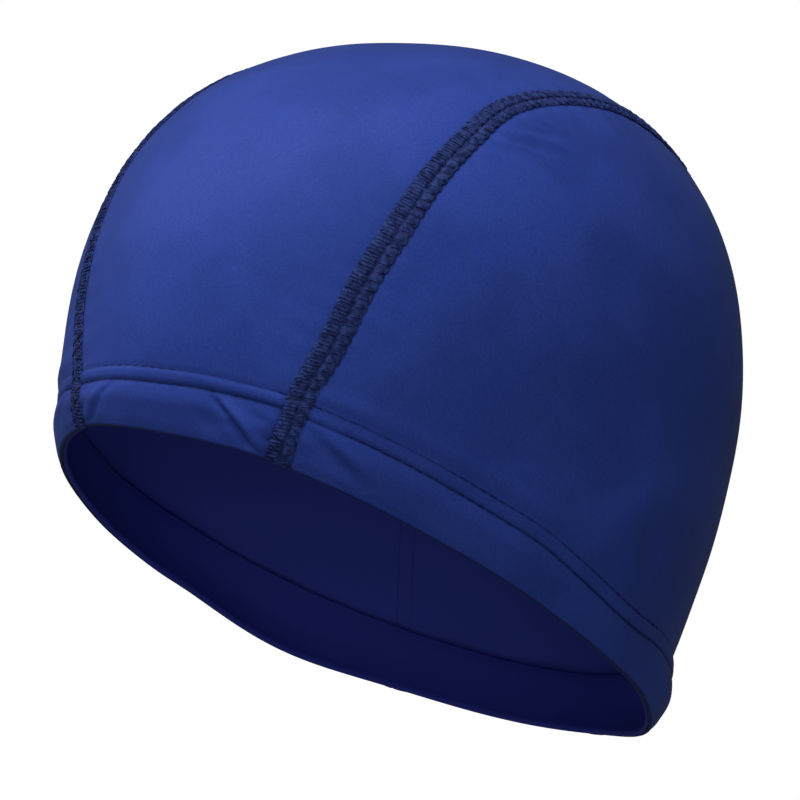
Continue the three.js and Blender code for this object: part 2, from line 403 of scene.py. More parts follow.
    def arch_walk(self, walked: Array) -> tuple[Array, Array]:
        """The middle line from the front rim over the crown to the back rim.

        Args:
            walked: the cloth's length from the front rim.

        Returns:
            The fan angle and level of each place.
        """
        ahead = walked < self.front_length
        left = np.where(ahead, walked, self.front_length + self.back_length - walked)
        length = np.where(ahead, self.front_length, self.back_length)
        in_hem = left / self.hem_width - 1
        over_hem = (left - self.hem_width) / (length - self.hem_width)
        level = np.clip(np.where(left < self.hem_width, in_hem, over_hem), -1, 1)
        point = np.where(ahead[..., None], self.arch_at(-1, level), self.arch_at(1, level))
        return self.fan_angle(point[..., 0], point[..., 1]), level

    def height_over_hem(self, level: Array, turn: Array) -> Array:
        """How far up the cloth a place lies from the top of the hem."""
        start = np.zeros(np.shape(turn))
        step = self.head_point(start + SMALL_STEP, turn) - self.head_point(start, turn)
        per_level = np.linalg.norm(step, axis=-1) / SMALL_STEP
        return np.where(level < 0, level * self.hem_width, level * per_level)


@dataclass(frozen=True)
class Crease:
    """A short fold or groove in the cloth, with its ends fading out."""

    height: float
    width: float
    path: tuple[tuple[float, float, float], ...]
    end_share: float = 0.35
    end_height: float = 0.25

    def lift(self, points: Array) -> Array:
        """How far the crease lifts the cloth at some points."""
        path = np.array(self.path, float)
        lengths = np.linalg.norm(np.diff(path, axis=0), axis=1)
        starts = np.r_[0, np.cumsum(lengths)]
        nearest = np.full(points.shape[:-1], np.inf)
        along = np.zeros(points.shape[:-1])
        for i, length in enumerate(lengths):
            step = (path[i + 1] - path[i]) / length
            walked = np.clip((points - path[i]) @ step, 0, length)
            away = np.linalg.norm(points - path[i] - walked[..., None] * step, axis=-1)
            closer = away < nearest
            nearest = np.where(closer, away, nearest)
            along = np.where(closer, starts[i] + walked, along)
        share = along / starts[-1]
        fade = smooth_step(share, 0, self.end_share) * smooth_step(1 - share, 0, self.end_share)
        strength = self.end_height + (1 - self.end_height) * fade
        return self.height * strength * bell(nearest, self.width)

    def mirrored(self, scale: float) -> "Crease":
        """The crease on the other half of the cap, with its height scaled."""
        path = tuple((-x, y, z) for x, y, z in self.path)
        return Crease(self.height * scale, self.width, path)


@dataclass
class SeamLine:
    """The middle line of one seam, from the front rim over the crown to the back rim."""

    form: CapForm
    side: Side
    step: float = 0.6
    fan_steps: int = 900

    def __post_init__(self) -> None:
        """Walks the line and keeps its places at even steps."""
        fans = np.linspace(0, HALF_TURN, self.fan_steps)
        fans = fans[self.place(fans, 0.0)[0] >= self.form.rim_level]
        points = self.points_at(fans, 0.0)
        lengths = np.r_[0, np.cumsum(np.linalg.norm(np.diff(points, axis=0), axis=1))]
        self.length = float(lengths[-1])
        self.walked = np.linspace(0, self.length, int(round(self.length / self.step)) + 1)
        self.fans = np.interp(self.walked, lengths, fans)
        self.middle = self.points_at(self.fans, 0.0)
        self.tree = kdtree.KDTree(len(self.middle))
        for i, point in enumerate(self.middle):
            self.tree.insert(Vector(point), i)
        self.tree.balance()

    def place(self, fans: Array, across: Array | float) -> tuple[Array, Array]:
        """The level and turn of a place beside the line, across it away from the centre panel."""
        sign = self.side.value
        return self.form.place_at(fans, sign * (self.form.seam_at(fans) + across))

    def points_at(self, fans: Array, across: Array | float) -> Array:
        """Points of the cloth's outer face beside the line."""
        return self.form.cloth_point(*self.place(fans, across), 0.0)

    def nearest(self, points: Array) -> tuple[Array, Array]:
        """The length walked along the line to its nearest place, and the distance from it."""
        flat = points.reshape(-1, 3)
        walked, away = np.zeros(len(flat)), np.zeros(len(flat))
        for i, point in enumerate(flat):
            _, index, distance = self.tree.find(point)
            walked[i], away[i] = self.walked[index], distance
        return walked.reshape(points.shape[:-1]), away.reshape(points.shape[:-1])


@dataclass
class ClothRelief:
    """The fine shape of the cloth over the form: the tuck of the hem, folds, puckers and slow waves."""

    form: CapForm
    seams: dict[Side, SeamLine]
    row_gap: float = 3.7
    tuck_height: float = 0.34
    row_groove: float = 0.3
    row_width: float = 0.6
    row_edge: float = 1.1
    upper_groove: float = 0.6
    puff_height: float = 0.35
    puff_below: float = 4.0
    puff_width: float = 2.8
    roll_height: float = 0.42
    roll_above: float = 3.4
    roll_width: float = 2.1
    roll_flattens: float = 0.75
    roll_turns: tuple[float, ...] = (24, 30, 60, 100)
    row_turns: tuple[float, ...] = (
        -180, -130, -102, -80, -62, -40, -24, -12, 0, 8, 16, 23, 30, 37, 47, 60, 68, 76, 80, 86, 93, 105,
        130, 180,
    )
    row_heights: tuple[float, ...] = (
        -0.5, -1.5, -2.4, -2.2, -0.5, -0.4, -1.1, -0.5, -0.1, 0.6, 1.1, 1.7, 1.35, 1.2, 0.8, 0.1, -0.1, -1.5,
        -2.2, -2.9, -2.9, -1.7, -1.3, -0.5,
    )
    pucker_height: float = 0.16
    pucker_pitch: float = 6.4
    pucker_reach: float = 6.5
    seam_dip: float = 0.18
    seam_dip_width: float = 1.6
    wave_height: float = 0.16
    wave_count: int = 7
    wave_lengths: tuple[float, float] = (22, 60)
    mirror_share: float = 0.3
    seed: int = 11

    # The height, width and path of each fold of the left half: in the hem beside the seam, over the hem,
    # beside the seam's top, and behind the ear. The paths were picked on the photograph's folds and
    # carried onto the cloth.
    FOLDS = (
        (-1.0, 0.9, ((15.5, -84.1, 14.6), (16.9, -84.3, 12.7), (19.1, -84.2, 11.0), (21.8, -83.8, 8.9))),
        (-1.6, 1.2, ((20.0, -84.0, 10.2), (23.4, -83.5, 6.2), (25.3, -83.0, 3.3), (28.2, -81.5, -1.0))),
        (0.9, 1.4, ((18.0, -83.8, 13.5), (20.8, -83.5, 11.4), (23.6, -83.2, 8.9), (25.9, -82.7, 6.4))),
        (1.2, 1.7, ((23.0, -83.2, 9.0), (26.3, -82.6, 6.0), (28.1, -82.1, 3.4), (30.0, -81.0, 0.8))),
        (-0.4, 2.2, ((10.0, -86.0, 10.5), (14.7, -85.7, 7.9), (19.4, -84.7, 4.3))),
        (-0.5, 1.2, ((26.1, -81.8, 10.8), (29.1, -80.9, 8.9), (30.4, -80.6, 7.2))),
        (0.3, 1.0, ((29.6, -80.2, 10.8), (32.2, -79.2, 9.0))),
        (-1.0, 0.7, ((30.0, -81.0, 4.6), (32.8, -79.8, 3.2))),
        (-0.9, 2.0, ((39.0, -76.2, 7.6), (42.4, -74.5, 3.2), (45.7, -72.6, 0.1), (50.6, -69.0, -7.0))),
        (0.6, 1.8, ((39.6, -75.0, 9.2), (44.4, -72.5, 5.3), (47.3, -71.1, 1.4), (53.8, -66.4, -6.5))),
        (0.5, 1.0, ((50.1, -3.2, 77.1), (52.5, 0.0, 76.0), (55.9, 3.0, 73.9), (60.7, 6.9, 70.4))),
        (0.5, 1.1, ((50.4, -11.3, 75.2), (53.6, -8.6, 73.7), (57.4, -4.2, 71.7), (62.8, 2.2, 67.8))),
        (0.42, 1.0, ((50.6, -16.0, 73.7), (53.4, -14.1, 72.2), (59.3, -9.0, 68.8))),
        (0.3, 1.0, ((50.6, -23.8, 70.8), (55.4, -18.8, 68.9))),
        (0.2, 0.9, ((52.9, 11.0, 76.5), (54.9, 13.0, 75.2))),
        (-0.55, 1.2, ((49.7, -6.6, 76.7), (53.8, -4.5, 74.4), (59.1, 2.6, 71.3))),
        (-0.55, 1.2, ((50.5, -14.1, 74.3), (54.5, -11.5, 72.2), (61.3, -4.1, 68.2))),
        (-0.42, 1.2, ((50.2, -18.3, 73.2), (53.7, -17.4, 70.8), (57.7, -13.8, 68.8))),
        (0.7, 5.0, ((86.0, -13.0, -24.5), (87.0, -7.5, -19.5), (88.0, 2.0, -16.0), (88.4, 12.0, -17.0))),
        (-1.5, 8.0, ((87.0, -1.0, -33.0), (88.0, 7.5, -30.0))),
    )

    def __post_init__(self) -> None:
        """Draws the slow waves and lists the folds of both halves."""
        draw = np.random.default_rng(self.seed)
        directions = unit(draw.normal(size=(self.wave_count, 3)))
        lengths = draw.uniform(*self.wave_lengths, size=self.wave_count)
        self.waves = directions * (2 * np.pi / lengths)[:, None]
        self.phases = draw.uniform(0, 2 * np.pi, size=self.wave_count)
        left = [Crease(*fold) for fold in self.FOLDS]
        self.folds = left + [crease.mirrored(self.mirror_share) for crease in left]

    @staticmethod
    def degrees_round(turn: Array) -> Array:
        """A turn in degrees, from -180 to 180."""
        return np.degrees((turn + HALF_TURN) % (2 * HALF_TURN)) - 180

    def upper_row(self, turn: Array) -> Array:
        """How far over the hem's top the upper row of stitches runs."""
        return read_table(self.row_turns, self.row_heights, self.degrees_round(turn))

    def over_row(self, level: Array, turn: Array) -> Array:
        """How far up the cloth a place lies from the upper row of stitches."""
        return self.form.height_over_hem(level, turn) - self.upper_row(turn)

    def hem_relief(self, level: Array, turn: Array) -> Array:
        """The tuck between the two rows, the groove along each, and the soft rolls under and over them."""
        over, lower = self.over_row(level, turn), self.over_row(level, turn) + self.row_gap
        away = np.abs(self.degrees_round(turn))
        start, full, fades, ends = self.roll_turns
        beside = smooth_step(away, start, full) * smooth_step(-away, -ends, -fades)
        tuck = smooth_step(over, -self.row_gap, -self.row_gap + self.row_edge)
        tuck = tuck * smooth_step(-over, 0, self.row_edge)
        grooves = bell(over, self.row_width) * self.upper_groove + bell(lower, self.row_width)
        puff = bell(lower + self.puff_below, self.puff_width) * self.puff_height
        roll = bell(over - self.roll_above, self.roll_width) * self.roll_height * beside
        kept = self.tuck_height * tuck * (1 - self.roll_flattens * beside)
        return kept - self.row_groove * grooves + puff + roll

    def at(self, level: Array, turn: Array, points: Array) -> Array:
        """How far the cloth stands off the form.

        Args:
            level: the levels of the places.
            turn: their turns.
            points: the same places on the form.

        Returns:
            The height over the form at each place.
        """
        slow = np.sin(points @ self.waves.T + self.phases).mean(-1) * self.wave_height * 2
        total = self.hem_relief(level, turn) + slow * smooth_step(level, -1.0, -0.6)
        for crease in self.folds:
            total = total + crease.lift(points)
        for line in self.seams.values():
            walked, away = line.nearest(points)
            edge = np.maximum(away - self.form.seam_width / 2, 0)
            ripple = np.sin(2 * np.pi * walked / self.pucker_pitch + 1.3 * np.sin(walked / 9.0))
            strength = 0.55 + 0.45 * np.sin(walked / 23.0 + 1.0)
            fade = np.exp(-edge / self.pucker_reach) * smooth_step(edge, 0.0, self.seam_dip_width)
            total = total + self.pucker_height * ripple * strength * fade
            total = total - self.seam_dip * bell(edge, self.seam_dip_width)
        return total * smooth_step(level, self.form.rim_level, self.form.rim_level + 0.08)

    def seam_gap(self, points: Array) -> Array:
        """How far some places lie from the nearest edge of a seam."""
        gaps = [line.nearest(points)[1] for line in self.seams.values()]
        return np.minimum(*gaps) - self.form.seam_width / 2


@dataclass(frozen=True)
class Finish:
    """What cloth and thread share: two tones, the colour of the inner side and how they shine."""

    name: str
    light: Colour
    dark: Colour
    lining: Colour
    tint: Colour
    roughness: float
    bump: float
    gloss: float = 0.12

    def start(self) -> tuple[Material, Tree, bpy.types.Node]:
        """A new material, its tree and its shader."""
        material = bpy.data.materials.new(self.name)
        material.use_nodes = True
        shader = material.node_tree.nodes["Principled BSDF"]
        shader.inputs["Roughness"].default_value = self.roughness
        shader.inputs["Specular IOR Level"].default_value = self.gloss
        shader.inputs["Specular Tint"].default_value = (*self.tint, 1)
        return material, material.node_tree, shader

    @staticmethod
    def noise(tree: Tree, scale: float, detail: float) -> Socket:
        """A noise over the piece's own coordinates."""
        place = add_node(tree, "ShaderNodeTexCoord").outputs["Object"]
        inputs = {"Scale": scale, "Detail": detail, "Vector": place}
        return add_node(tree, "ShaderNodeTexNoise", inputs).outputs["Fac"]

    @staticmethod
    def spread(
        tree: Tree, source: Socket, start: float, end: float,
        low: float = 0.0, high: float = 1.0,
    ) -> Socket:
        """Spreads a value from start and end to low and high."""
        inputs = {"Value": source, "From Min": start, "From Max": end, "To Min": low, "To Max": high}
        return add_node(tree, "ShaderNodeMapRange", inputs).outputs["Result"]

    @staticmethod
    def mixed(
        tree: Tree, share: Socket | float, first: Socket | tuple, second: Socket | tuple, way: str = "MIX"
    ) -> Socket:
        """Mixes two colours, each a socket or a colour, by a share."""
        inputs = {0: share, 6: first, 7: second}
        return add_node(tree, "ShaderNodeMix", inputs, data_type="RGBA", blend_type=way).outputs[2]

    def lined(self, tree: Tree, colour: Socket) -> Socket:
        """The colour outside, and the lining's colour inside, set lighter than the face for the panels and
        seams: partly the cloth's inner side, partly painted light for the shaded inside.
        """
        inside = add_node(tree, "ShaderNodeAttribute", attribute_name="lining").outputs["Fac"]
        return self.mixed(tree, inside, colour, (*self.lining, 1))

    def bumped(
        self, tree: Tree, height: Socket, distance: float
    ) -> Socket:
        """The normal of a surface with a fine height on it."""
        inputs = {"Strength": self.bump, "Distance": distance, "Height": height}
        return add_node(tree, "ShaderNodeBump", inputs).outputs["Normal"]


@dataclass(frozen=True)
class Knit(Finish):
    """Stretch knit cloth. Its painted shade darkens the cloth where an attribute is near a value, and
    towards grazing angles.
    """

    sheen: float = 0.0
    grain: float = 0.1
    edge_shade: float = 0.0
    painted_shades: tuple[tuple[str, float, float, float], ...] = ()
    grain_scale: float = 1400.0
    drift_scale: float = 38.0

    def make(self) -> Material:
        """Builds the material: a fine grain, slow shifts of colour, painted shade, wales in the bump and a
        dark back.
        """
        material, tree, shader = self.start()
        shader.inputs["Sheen Weight"].default_value = self.sheen
        shader.inputs["Sheen Roughness"].default_value = 0.4
        shader.inputs["Sheen Tint"].default_value = (*self.tint, 1)
        fine = self.noise(tree, self.grain_scale, 3.0)
        slow = self.spread(tree, self.noise(tree, self.drift_scale, 2.0), 0.42, 0.58)
        value = self.spread(tree, fine, 0.3, 0.7, 1 - self.grain, 1 + self.grain)
        blend = self.mixed(tree, slow, (*self.light, 1), (*self.dark, 1))
        grained = add_node(tree, "ShaderNodeHueSaturation", {"Value": value, "Color": blend})
        colour = self.lined(tree, self.with_painted_shade(tree, grained.outputs["Color"]))
        tree.links.new(colour, shader.inputs["Base Color"])
        tree.links.new(self.relief(tree, fine), shader.inputs["Normal"])
        return material

    def with_painted_shade(self, tree: Tree, colour: Socket) -> Socket:
        """Paints shade into the colour: along the stitch rows' grooves, beside the seams, round the rim's
        fold and towards grazing angles.
        """
        # Painted shade at the silhouette: the colour darkens towards grazing angles by edge_shade.
        facing = add_node(tree, "ShaderNodeLayerWeight").outputs["Facing"]
        edge = calculate(tree, "MULTIPLY", calculate(tree, "POWER", facing, 3.0), self.edge_shade)
        light = calculate(tree, "SUBTRACT", 1.0, edge)
        # Painted shade where each listed attribute is near its value, by its width and depth.
        for shade_source, at, width, depth in self.painted_shades:
            source = add_node(tree, "ShaderNodeAttribute", attribute_name=shade_source).outputs["Fac"]
            away = calculate(tree, "DIVIDE", calculate(tree, "SUBTRACT", source, at), width)
            square = calculate(tree, "MULTIPLY", away, away)
            near = calculate(tree, "EXPONENT", calculate(tree, "MULTIPLY", square, -1.0))
            left = calculate(tree, "SUBTRACT", 1.0, calculate(tree, "MULTIPLY", near, depth))
            light = calculate(tree, "MULTIPLY", light, left)
        return self.mixed(tree, 1.0, colour, light, "MULTIPLY")

    def relief(self, tree: Tree, fine: Socket) -> Socket:
        """The bump of the wales and the grain."""
        pattern = add_node(tree, "ShaderNodeTexCoord").outputs["UV"]
        inputs = {"Vector": pattern, "Scale": 0.55, "Distortion": 1.6, "Detail": 2.0, "Detail Scale": 1.4}
        wales = add_node(tree, "ShaderNodeTexWave", inputs, wave_type="BANDS", bands_direction="X")
        return self.bumped(tree, calculate(tree, "MULTIPLY_ADD", wales.outputs["Fac"], 0.5, fine), 0.0001)


@dataclass(frozen=True)
class Thread(Finish):
    """Sewing thread."""

    tone_scale: float = 620.0
    twist_scale: float = 2600.0

    def make(self) -> Material:
        """Builds the material: two tones from stitch to stitch and a fine twist in the bump."""
        material, tree, shader = self.start()
        tone = self.spread(tree, self.noise(tree, self.tone_scale, 2.0), 0.4, 0.6)
        colour = self.mixed(tree, tone, (*self.dark, 1), (*self.light, 1))
        tree.links.new(self.lined(tree, colour), shader.inputs["Base Color"])
        twist = self.noise(tree, self.twist_scale, 2.0)
        tree.links.new(self.bumped(tree, twist, 0.0002), shader.inputs["Normal"])
        return material


@dataclass
class ClothWall:
    """A closed wall of cloth between an outer and an inner face that share one grid."""

    name: str
    outer: Array
    inner: Array
    pattern: Array
    is_ring: bool = False
    # Attributes that place the painted shade in the knit's colour.
    painted_shades: dict[str, Array] = field(default_factory=dict)
    weld_digits: int = 4

    def build(self, material: Material) -> Piece:
        """Makes the object, with its lining attribute and its pattern as a UV map."""
        points = np.concatenate([self.outer.reshape(-1, 3), self.inner.reshape(-1, 3)])
        shape = self.outer.shape[:2]
        grid = np.arange(shape[0] * shape[1]).reshape(shape)
        lining = np.repeat([0.0, 1.0], grid.size)
        pattern = np.concatenate([self.pattern.reshape(-1, 2)] * 2)
        back = grid + grid.size
        corners = [
            (grid[:-1, :-1], grid[:-1, 1:], grid[1:, 1:], grid[1:, :-1]),
            (back[:-1, :-1], back[1:, :-1], back[1:, 1:], back[:-1, 1:]),
        ]
        if not self.is_ring:
            corners.append((back[:-1, 0], grid[:-1, 0], grid[1:, 0], back[1:, 0]))
            corners.append((grid[:-1, -1], back[:-1, -1], back[1:, -1], grid[1:, -1]))
        corners.append((back[0, :-1], back[0, 1:], grid[0, 1:], grid[0, :-1]))
        corners.append((grid[-1, :-1], grid[-1, 1:], back[-1, 1:], back[-1, :-1]))
        faces = np.concatenate([np.stack(corner, -1).reshape(-1, 4) for corner in corners])
        places = np.round(points, self.weld_digits) + 0.0
        _, first, welded = np.unique(places, axis=0, return_index=True, return_inverse=True)
        kept = [list(dict.fromkeys(face)) for face in welded.reshape(-1)[faces].tolist()]
        kept = [face for face in kept if len(face) > 2]
        mesh = bpy.data.meshes.new(self.name)
        mesh.from_pydata((points[first] * MM).tolist(), [], kept)
        mesh.attributes.new("lining", "FLOAT", "POINT").data.foreach_set("value", lining[first])
        # The attributes for the painted shade, on both faces.
        for shade_source, values in self.painted_shades.items():
            both = np.concatenate([values.ravel()] * 2)[first]
            mesh.attributes.new(shade_source, "FLOAT", "POINT").data.foreach_set("value", both.astype(np.float32))
        loops = np.zeros(len(mesh.loops), np.int32)
        mesh.loops.foreach_get("vertex_index", loops)
        layer = mesh.uv_layers.new(name="pattern")
        layer.data.foreach_set("uv", pattern[first][loops].astype(np.float32).ravel())
        return place_cloth(self.name, mesh, material)


@dataclass
class Panels:
    """The three cloth panels, with the fold of the hem's rim at their lower edges."""

    form: CapForm
    relief: ClothRelief
    fine_step: float = 0.55
    step: float = 1.2
    column_step: float = 0.85
    fine_reach: float = 22.0
    side_rows: int = 120
    side_columns: int = 270
    tuck_under: float = 1.2
    curls: tuple[float, ...] = (82.0, 62.0, 42.0, 21.0)
    # How far round the rim's fold, in degrees, the painted shade of the fold reaches its full depth.
    dark_curl: float = 60.0
    follow: float = 0.35
    off_row: float = -40.0

    def wall(self, name: str, level: Array, turn: Array, curl: Array, pattern: Array) -> ClothWall:
        """A wall over a grid of places.

        Args:
            name: the piece's name.
            level: the level of each place.
            turn: the turn of each place.
            curl: how far round the rim's fold each place lies.
            pattern: the place of each point in the cloth's own flat pattern.

        Returns:
            The wall, ready to build.
        """
        base = self.form.cloth_point(level, turn, 0.0)
        normal = self.form.head_normal(level, turn)
        flat = curl < NEARLY_NONE
        height = self.relief.at(level, turn, base) * flat
        outer = self.form.cloth_point(level, turn, 0.0, curl) + normal * height[..., None]
        inner = self.form.cloth_point(level, turn, self.form.wall, curl)
        inner = inner + normal * (height * self.follow)[..., None]
        painted_shades = {
            # over_row places the painted shade along the stitch rows' grooves.
            "over_row": np.where(flat, self.relief.over_row(level, turn), self.off_row),
            # seam_gap places a painted shadow along the seams' edges.
            "seam_gap": self.relief.seam_gap(base),
            # fold: how far round the rim's fold a point lies, which places the painted shade at the rim.
            "fold": np.clip(curl / np.radians(self.dark_curl), 0, 1),
        }
        return ClothWall(name, outer, inner, pattern, painted_shades=painted_shades)

    def arch_steps(self) -> Array:
        """The lengths along the middle line where the centre panel has its rows."""
        total = self.form.front_length + self.form.back_length
        fine = np.arange(self.form.rim_radius, self.fine_reach, self.fine_step)
        count = int((total - 2 * self.fine_reach) / self.step)
        even = np.linspace(self.fine_reach, total - self.fine_reach, count)
        return np.r_[fine, even, total - fine[::-1]]

    def centre(self) -> ClothWall:
        """The panel that runs from the forehead over the crown to the nape."""
        walked = self.arch_steps()
        fans, _ = self.form.arch_walk(walked)
        curl = np.radians(self.curls)
        fans = np.r_[np.full(len(curl), fans[0]), fans, np.full(len(curl), fans[-1])]
        walked = np.r_[-curl, walked, walked[-1] + curl[::-1]]
        curls = np.zeros(len(fans))
        curls[: len(curl)], curls[-len(curl):] = curl, curl[::-1]
        reach = self.form.seam_at(fans) - self.form.seam_half + self.tuck_under
        columns = int(2 * self.form.panel_half_width / self.column_step)
        across = np.linspace(-1, 1, columns + 1)
        left = across[None, :] * reach[:, None]
        level, turn = self.form.place_at(np.broadcast_to(fans[:, None], left.shape), left)
        at_rim = (curls > 0)[:, None]
        level = np.where(at_rim, self.form.rim_level, np.maximum(level, self.form.rim_level))
        curl_grid = np.broadcast_to(curls[:, None], left.shape)
        pattern = np.stack([left, np.broadcast_to(walked[:, None], left.shape)], -1)
        return self.wall("center_panel_cloth", level, turn, curl_grid, pattern)

    def side(self, side: Side) -> ClothWall:
        """The panel over one ear."""
        form = self.form
        beside = form.seam_half - self.tuck_under

        def edge(fan: Array) -> tuple[Array, Array]:
            """The panel's edge along its seam."""
            return form.place_at(fan, form.seam_at(fan) + beside)

        def climbs(fan: Array) -> Array:
            """Whether the edge rises with the fan angle."""
            return edge(fan + SMALL_STEP)[0] > edge(fan)[0]

        top_fan = halve(0.0, HALF_TURN, climbs)
        top = float(edge(top_fan)[0])
        hem = np.linspace(form.rim_level, 0, int(form.hem_width / self.fine_step) + 1)[:-1]
        levels = np.r_[hem, top * np.sin(np.linspace(0, np.pi / 2, self.side_rows + 1))]
        below = levels[:-1]
        first, middle, last = (np.full(len(below), fan) for fan in (0.0, top_fan, HALF_TURN))
        front = halve(first, middle, lambda fan: edge(fan)[0] < below)
        back = halve(middle, last, lambda fan: edge(fan)[0] > below)
        starts = np.r_[edge(front)[1], edge(top_fan)[1]]
        ends = np.r_[edge(back)[1], edge(top_fan)[1]]
        curl = np.radians(self.curls)
        levels = np.r_[np.full(len(curl), form.rim_level), levels]
        starts = np.r_[np.full(len(curl), starts[0]), starts]
        ends = np.r_[np.full(len(curl), ends[0]), ends]
        curls = np.r_[curl, np.zeros(len(levels) - len(curl))]
        share = np.linspace(0, 1, self.side_columns + 1)
        share = share if side is Side.LEFT else 1 - share
        turn = side.value * (starts[:, None] + (ends - starts)[:, None] * share[None, :])
        level = np.broadcast_to(levels[:, None], turn.shape)
        curl_grid = np.broadcast_to(curls[:, None], turn.shape)
        height = form.height_over_hem(level, turn)
        pattern = np.stack([turn * form.half_width, height], -1)
        return self.wall(f"side_panel_{side.word}_cloth", level, turn, curl_grid, pattern)


@dataclass
class HemBand:
    """The layer of cloth that is turned in at the rim and sewn down."""

    form: CapForm
    rows: int = 26
    columns: int = 300
    curls: tuple[float, ...] = (94.0, 115.0, 136.0, 158.0)
    wave: float = 0.12

    def wall(self) -> ClothWall:
        """The ring, from the bottom of the rim's fold to the top of the hem."""
        form = self.form
        curl = np.radians(self.curls)
        levels = np.r_[np.full(len(curl), form.rim_level), np.linspace(form.rim_level, 0, self.rows + 1)]
        curls = np.r_[curl, np.full(self.rows + 1, np.pi)]
        turn = np.linspace(0, 2 * np.pi, self.columns + 1)
        level, turn = np.meshgrid(levels, turn, indexing="ij")
        curl_grid = np.broadcast_to(curls[:, None], level.shape)
        rounded = (curl_grid < np.pi - NEARLY_NONE)[..., None]
        inside = form.cloth_point(level, turn, 2 * form.rim_radius)
        outside = form.cloth_point(level, turn, form.wall + form.clearance)
        face = np.where(rounded, form.cloth_point(level, turn, 0.0, curl_grid), inside)
        back = np.where(rounded, form.cloth_point(level, turn, form.band_wall, curl_grid), outside)
        wave = self.wave * np.sin(turn * 23 + 2 * np.sin(turn * 5)) * smooth_step(level, -1, -0.6)
        face = face - form.head_normal(level, turn) * wave[..., None]
        pattern = np.stack([turn * form.half_width, form.hem_width * level - curls[:, None]], -1)
        return ClothWall("hem_band_cloth", back, face, pattern, is_ring=True)


